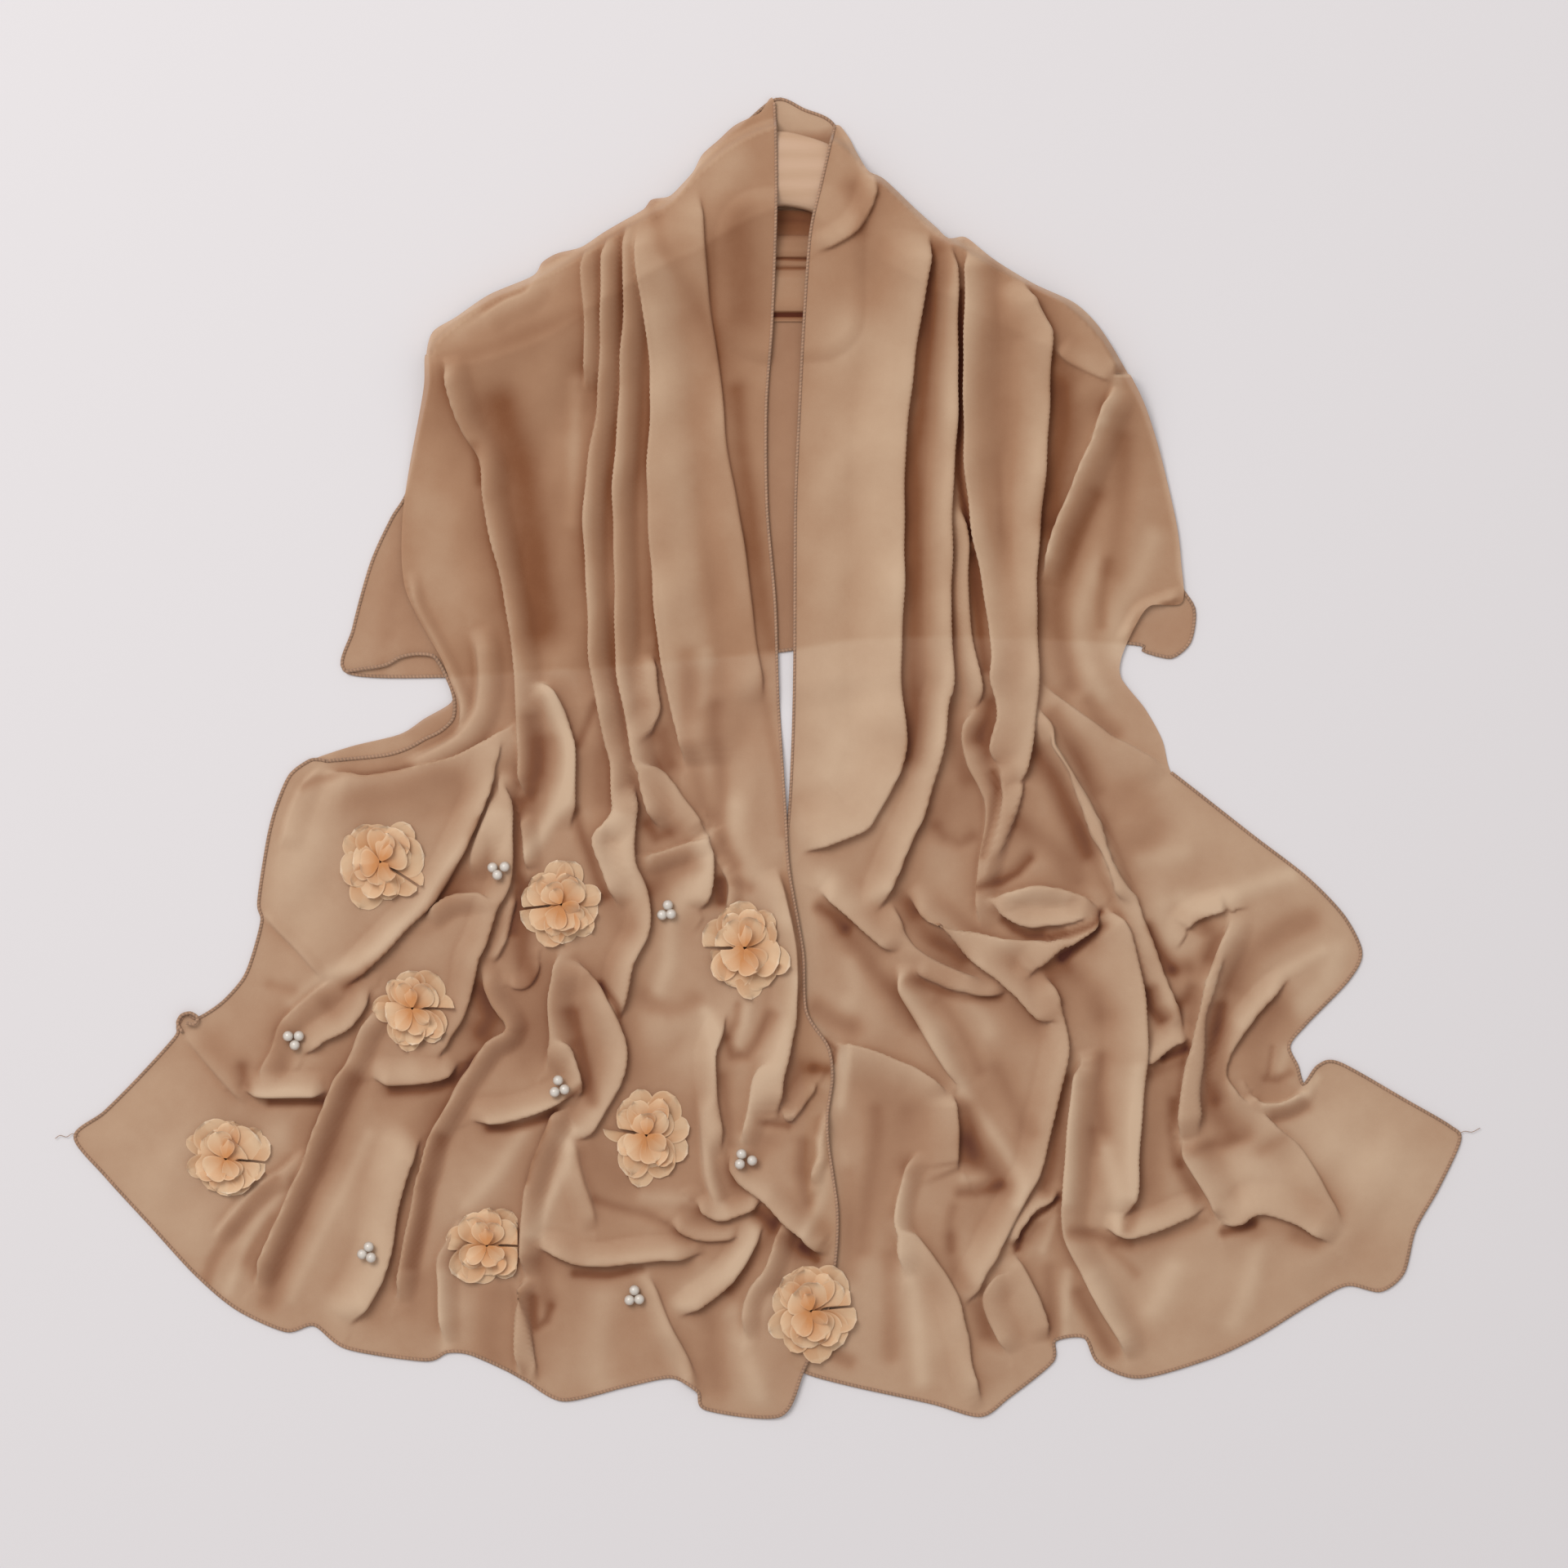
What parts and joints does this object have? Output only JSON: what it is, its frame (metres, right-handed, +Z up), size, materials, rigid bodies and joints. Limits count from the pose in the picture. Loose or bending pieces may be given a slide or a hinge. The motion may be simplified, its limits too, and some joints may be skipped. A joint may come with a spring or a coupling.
{
  "type": "beaded scarf on a wooden coat hanger",
  "caption": "Sheer chiffon scarf laid open over a wooden coat hanger, its ends brought forward as two fronts, one sewn with chiffon rosettes and pearl beads.",
  "frame": {"origin": "middle of the laid scarf, on the surface that it rests on", "axes": "+X along the arms of the hanger, +Y from the hems towards the neck, +Z up off the surface"},
  "size_m": [0.8468, 0.8065, 0.0301],
  "materials": {
    "chiffon": "matt sheer weave",
    "petal_chiffon": "matt sheer weave",
    "pearl": "pearlescent",
    "wood": "clear lacquer"
  },
  "bodies": {
    "root": {"back_cloth": "chiffon", "neck_fold": "chiffon", "left_front": "chiffon", "right_front": "chiffon", "hanger": "wood", "flower_1": "petal_chiffon", "flower_2": "petal_chiffon", "flower_3": "petal_chiffon", "flower_4": "petal_chiffon", "flower_5": "petal_chiffon", "flower_6": "petal_chiffon", "flower_7": "petal_chiffon", "flower_8": "petal_chiffon", "beads_1": "pearl", "beads_2": "pearl", "beads_3": "pearl", "beads_4": "pearl", "beads_5": "pearl", "beads_6": "pearl", "beads_7": "pearl"}
  },
  "joints": []
}
